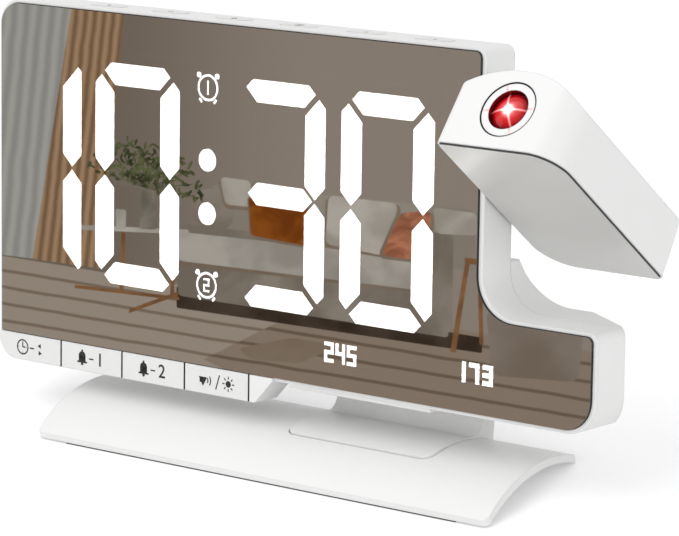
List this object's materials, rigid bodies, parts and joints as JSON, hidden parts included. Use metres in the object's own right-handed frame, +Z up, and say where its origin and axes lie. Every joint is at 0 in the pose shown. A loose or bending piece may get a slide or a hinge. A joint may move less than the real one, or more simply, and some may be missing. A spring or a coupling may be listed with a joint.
{
  "type": "projection alarm clock",
  "caption": "Mirror-faced alarm clock leaning back on an arched stand, with glowing segment digits, a strip of front keys, top keys and a tilting projector head with a focusing lens.",
  "frame": {"origin": "on the table, in the middle of the underside of the stand's front foot strip", "axes": "+X to the clock's right as seen from the front, +Y from the mirror to the rear, +Z up"},
  "size_m": [0.1999, 0.0684, 0.1086],
  "materials": {
    "white_shell": "smooth moulded white, satin to gloss",
    "rubber": "matt",
    "steel": "plated",
    "mirror": "half-silvered tinted mirror",
    "black_plastic": "matt moulded",
    "digit_light": "lit diffuser",
    "digit_dark": "unlit diffuser",
    "board": "solder mask",
    "led": "clear epoxy",
    "cell": "bright",
    "wire": "insulated",
    "lcd_glass": "polarised glass",
    "clear_lens": "polished",
    "red_lens": "polished, tinted"
  },
  "bodies": {
    "clock": {"base_plate": "white_shell", "foot_strips": "rubber", "neck": "white_shell", "neck_screws": "steel", "flange_screws": "steel", "front_shell": "white_shell", "rear_shell": "white_shell", "case_screws": "steel", "mirror_panel": "mirror", "display_mask": "black_plastic", "segments_lit": "digit_light", "segments_off": "digit_dark", "symbols_lit": "digit_light", "display_board": "board", "display_leds": "led", "main_board": "board", "main_chips": "black_plastic", "coin_holder": "black_plastic", "coin_cell": "cell", "battery_door": "white_shell", "door_screw": "steel", "speaker": "black_plastic", "dc_jack": "black_plastic", "key_board": "board", "key_switches": "black_plastic", "top_board": "board", "top_switches": "black_plastic", "hinge_bush": "steel", "spring_washer": "steel", "projector_lead": "wire"},
    "head": {"hinge_shaft": "steel", "shaft_clip": "steel", "head_shell": "white_shell", "head_cover": "black_plastic", "head_mirror": "mirror", "cover_screws": "steel", "lens_barrel": "black_plastic", "engine_case": "black_plastic", "projector_lcd": "lcd_glass", "condenser_lens": "clear_lens", "led_board": "board", "projector_led": "led"},
    "focus": {"focus_ring": "white_shell", "projection_lens": "red_lens"},
    "key_1": {"key_1": "white_shell"},
    "key_2": {"key_2": "white_shell"},
    "key_3": {"key_3": "white_shell"},
    "key_4": {"key_4": "white_shell"},
    "top_key_1": {"top_key_1": "white_shell"},
    "top_key_2": {"top_key_2": "white_shell"},
    "top_key_3": {"top_key_3": "white_shell"},
    "top_key_4": {"top_key_4": "white_shell"},
    "top_key_5": {"top_key_5": "white_shell"},
    "top_key_6": {"top_key_6": "white_shell"}
  },
  "joints": [
    {"name": "head_tilt", "type": "hinge", "parent": "clock", "child": "head", "pos_m": [0.06325, 0.0389, 0.07644], "axis": [1, 0, 0], "range_deg": [-143.2, 36.8]},
    {"name": "focus_turn", "type": "hinge", "parent": "head", "child": "focus", "pos_m": [0.0803, 0.02603, 0.09747], "axis": [0, -0.6157, 0.788], "range_deg": [-90, 90]},
    {"name": "key_1_press", "type": "slide", "parent": "clock", "child": "key_1", "axis": [0, 0.965, -0.2622], "range_m": [0, 0.00035], "stiffness_N_per_m": 400, "springref_m": -0.0006},
    {"name": "key_2_press", "type": "slide", "parent": "clock", "child": "key_2", "axis": [0, 0.965, -0.2622], "range_m": [0, 0.00035], "stiffness_N_per_m": 400, "springref_m": -0.0006},
    {"name": "key_3_press", "type": "slide", "parent": "clock", "child": "key_3", "axis": [0, 0.965, -0.2622], "range_m": [0, 0.00035], "stiffness_N_per_m": 400, "springref_m": -0.0006},
    {"name": "key_4_press", "type": "slide", "parent": "clock", "child": "key_4", "axis": [0, 0.965, -0.2622], "range_m": [0, 0.00035], "stiffness_N_per_m": 400, "springref_m": -0.0006},
    {"name": "top_key_1_press", "type": "slide", "parent": "clock", "child": "top_key_1", "axis": [0, -0.2622, -0.965], "range_m": [0, 0.00035], "stiffness_N_per_m": 400, "springref_m": -0.0006},
    {"name": "top_key_2_press", "type": "slide", "parent": "clock", "child": "top_key_2", "axis": [0, -0.2622, -0.965], "range_m": [0, 0.00035], "stiffness_N_per_m": 400, "springref_m": -0.0006},
    {"name": "top_key_3_press", "type": "slide", "parent": "clock", "child": "top_key_3", "axis": [0, -0.2622, -0.965], "range_m": [0, 0.00035], "stiffness_N_per_m": 400, "springref_m": -0.0006},
    {"name": "top_key_4_press", "type": "slide", "parent": "clock", "child": "top_key_4", "axis": [0, -0.2622, -0.965], "range_m": [0, 0.00035], "stiffness_N_per_m": 400, "springref_m": -0.0006},
    {"name": "top_key_5_press", "type": "slide", "parent": "clock", "child": "top_key_5", "axis": [0, -0.2622, -0.965], "range_m": [0, 0.00035], "stiffness_N_per_m": 400, "springref_m": -0.0006},
    {"name": "top_key_6_press", "type": "slide", "parent": "clock", "child": "top_key_6", "axis": [0, -0.2622, -0.965], "range_m": [0, 0.00035], "stiffness_N_per_m": 400, "springref_m": -0.0006}
  ]
}
